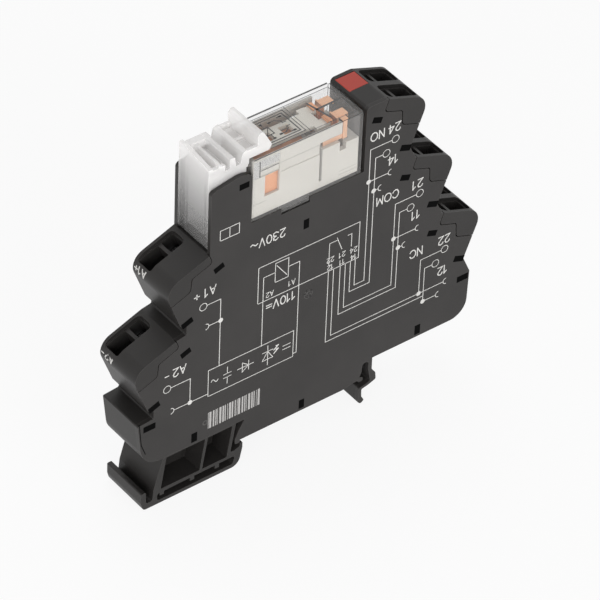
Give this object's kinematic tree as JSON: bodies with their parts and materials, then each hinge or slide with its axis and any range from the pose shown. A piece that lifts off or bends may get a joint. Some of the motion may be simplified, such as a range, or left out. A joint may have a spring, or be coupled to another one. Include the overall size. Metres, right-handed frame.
{
  "type": "interface relay",
  "caption": "slim rail-mounted interface relay with stepped clamp terminals, a plug-in relay in a clear case and a translucent release lever",
  "frame": {"origin": "centre of the 35 mm rail's width and of the module's thickness, on the plane where the rail's flanges touch the housing", "axes": "X across the rail, from the coil terminals to the contact terminals; Y along the rail, the module's thickness; Z away from the rail"},
  "size_m": [0.0926, 0.0128, 0.09],
  "materials": {
    "housing_black": "satin moulded",
    "lever_translucent": "milky translucent",
    "case_clear": "clear moulded",
    "relay_white": "moulded",
    "card_natural": "moulded",
    "marker_red": "moulded",
    "copper": "wound and rolled",
    "contact_alloy": "rolled",
    "tinned_pin": "tinned",
    "plated_iron": "zinc plated",
    "tinned_bar": "tinned",
    "spring_steel": "rolled",
    "board_green": "coated",
    "capacitor_body": "cast",
    "resistor_body": "lacquered",
    "chip_black": "moulded",
    "led_lens": "clear cast"
  },
  "bodies": {
    "housing": {"base_housing": "housing_black", "bridge_rectifier": "chip_black", "busbar_11": "tinned_bar", "busbar_12": "tinned_bar", "busbar_14": "tinned_bar", "busbar_21": "tinned_bar", "busbar_22": "tinned_bar", "busbar_24": "tinned_bar", "circuit_board": "board_green", "clamp_11": "spring_steel", "clamp_12": "spring_steel", "clamp_14": "spring_steel", "clamp_21": "spring_steel", "clamp_22": "spring_steel", "clamp_24": "spring_steel", "coil_socket_back": "tinned_pin", "coil_socket_front": "tinned_pin", "foot_spring": "spring_steel", "input_bar_minus": "tinned_bar", "input_bar_plus": "tinned_bar", "input_clamp_minus": "spring_steel", "input_clamp_plus": "spring_steel", "marker_tag": "marker_red", "series_resistor": "resistor_body", "side_cover": "housing_black", "status_led": "led_lens", "suppressor_capacitor": "capacitor_body"},
    "relay_module": {"relay_case": "case_clear", "relay_base": "relay_white", "coil_clip": "spring_steel", "coil_bobbin": "relay_white", "coil_winding": "copper", "magnet_core": "plated_iron", "yoke": "plated_iron", "closed_contact_front": "contact_alloy", "closed_contact_back": "contact_alloy", "open_contact_front": "contact_alloy", "open_contact_back": "contact_alloy", "common_pin_front": "copper", "common_pin_back": "copper", "coil_pin_front": "tinned_pin", "coil_pin_back": "tinned_pin"},
    "foot": {"rail_foot": "housing_black"},
    "lever": {"release_lever": "lever_translucent"},
    "armature_plate": {"armature": "plated_iron"},
    "card": {"pusher_card": "card_natural"},
    "leaf_front": {"moving_contact_front": "copper"},
    "leaf_back": {"moving_contact_back": "copper"}
  },
  "joints": [
    {"name": "lever_hinge", "type": "hinge", "parent": "housing", "child": "lever", "pos_m": [-0.0259, 0, 0.0581], "axis": [0, -1, 0], "range_deg": [0, 22]},
    {"name": "relay_lift", "type": "slide", "parent": "housing", "child": "relay_module", "axis": [0, 0, 1], "range_m": [0, 0.0042]},
    {"name": "foot_slide", "type": "slide", "parent": "housing", "child": "foot", "axis": [-1, 0, 0], "range_m": [0, 0.0022], "stiffness_N_per_m": 2500, "springref_m": -0.0008, "deforming": ["foot_spring"]},
    {"name": "armature_hinge", "type": "hinge", "parent": "relay_module", "child": "armature_plate", "pos_m": [-0.01526, 0, 0.06453], "axis": [0, 1, 0], "range_deg": [0, 3.3]},
    {"name": "card_slide", "type": "slide", "parent": "relay_module", "child": "card", "axis": [1, 0, 0], "range_m": [0, 0.0006], "stiffness_N_per_m": 170, "springref_m": -0.0005},
    {"name": "leaf_front_hinge", "type": "hinge", "parent": "relay_module", "child": "leaf_front", "pos_m": [0.006, -0.0025, 0.065], "axis": [0, 1, 0], "range_deg": [0, 3.51]},
    {"name": "leaf_back_hinge", "type": "hinge", "parent": "relay_module", "child": "leaf_back", "pos_m": [0.006, 0.0025, 0.065], "axis": [0, 1, 0], "range_deg": [0, 3.51]}
  ],
  "couplings": [
    {"joint": "lever_hinge", "follows": "relay_lift", "rad_per_m": 90.909},
    {"joint": "armature_hinge", "follows": "card_slide", "rad_per_m": 95.511},
    {"joint": "leaf_front_hinge", "follows": "card_slide", "rad_per_m": 100},
    {"joint": "leaf_back_hinge", "follows": "card_slide", "rad_per_m": 100}
  ]
}
